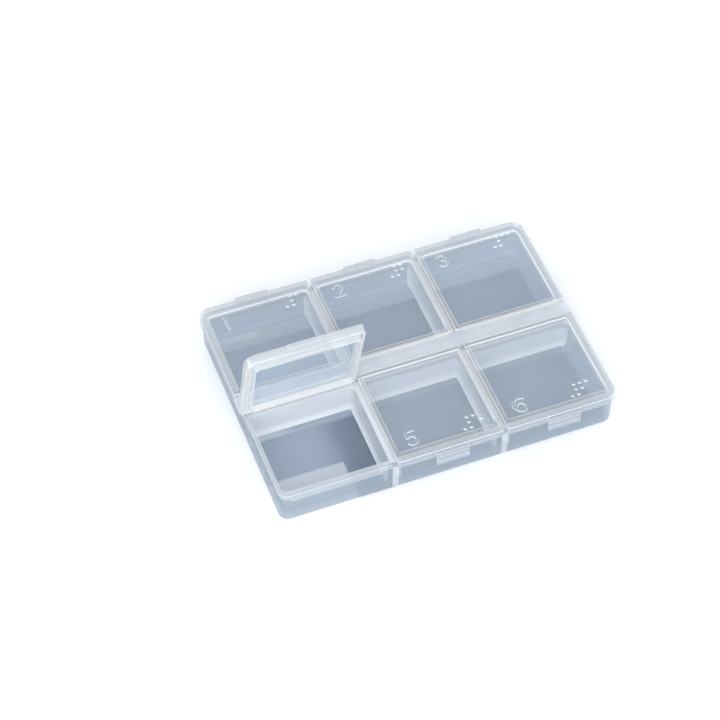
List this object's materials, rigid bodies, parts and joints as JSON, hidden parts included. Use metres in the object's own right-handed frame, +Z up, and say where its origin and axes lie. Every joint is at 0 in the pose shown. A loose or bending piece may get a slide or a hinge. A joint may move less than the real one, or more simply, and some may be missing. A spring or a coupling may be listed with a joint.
{
  "type": "individual lid bead organizer",
  "caption": "Flat translucent plastic box with two rows of compartments, each closed by its own numbered flip lid on a living hinge along a central strip.",
  "frame": {"origin": "middle of the tray's underside, on the surface the box stands on", "axes": "+Z up, +X along the long side to the right as seen from the front, +Y to the rear; lids 4 to 6 are the front row, and lid 4 stands open at rest"},
  "size_m": [0.135, 0.099, 0.0601],
  "materials": {
    "tray_plastic": "translucent faintly blue-grey polypropylene, smooth, soft gloss",
    "lid_plastic": "translucent faintly blue-grey polypropylene, smooth, glossy edges"
  },
  "bodies": {
    "root": {"tray": "tray_plastic", "spine": "lid_plastic"},
    "lid_1_body": {"lid_1": "lid_plastic", "hinge_1": "lid_plastic"},
    "lid_2_body": {"lid_2": "lid_plastic", "hinge_2": "lid_plastic"},
    "lid_3_body": {"lid_3": "lid_plastic", "hinge_3": "lid_plastic"},
    "lid_4_body": {"lid_4": "lid_plastic", "hinge_4": "lid_plastic"},
    "lid_5_body": {"lid_5": "lid_plastic", "hinge_5": "lid_plastic"},
    "lid_6_body": {"lid_6": "lid_plastic", "hinge_6": "lid_plastic"}
  },
  "joints": [
    {"name": "lid_1_hinge", "type": "hinge", "parent": "root", "child": "lid_1_body", "pos_m": [-0.04481, 0.0032, 0.01565], "axis": [1, 0, 0], "range_deg": [0, 92], "deforming": ["hinge_1"]},
    {"name": "lid_2_hinge", "type": "hinge", "parent": "root", "child": "lid_2_body", "pos_m": [0, 0.0032, 0.01565], "axis": [1, 0, 0], "range_deg": [0, 92], "deforming": ["hinge_2"]},
    {"name": "lid_3_hinge", "type": "hinge", "parent": "root", "child": "lid_3_body", "pos_m": [0.04481, 0.0032, 0.01565], "axis": [1, 0, 0], "range_deg": [0, 92], "deforming": ["hinge_3"]},
    {"name": "lid_4_hinge", "type": "hinge", "parent": "root", "child": "lid_4_body", "pos_m": [-0.04481, -0.0032, 0.01565], "axis": [-1, 0, 0], "range_deg": [-75, 17], "deforming": ["hinge_4"]},
    {"name": "lid_5_hinge", "type": "hinge", "parent": "root", "child": "lid_5_body", "pos_m": [0, -0.0032, 0.01565], "axis": [-1, 0, 0], "range_deg": [0, 92], "deforming": ["hinge_5"]},
    {"name": "lid_6_hinge", "type": "hinge", "parent": "root", "child": "lid_6_body", "pos_m": [0.04481, -0.0032, 0.01565], "axis": [-1, 0, 0], "range_deg": [0, 92], "deforming": ["hinge_6"]}
  ]
}
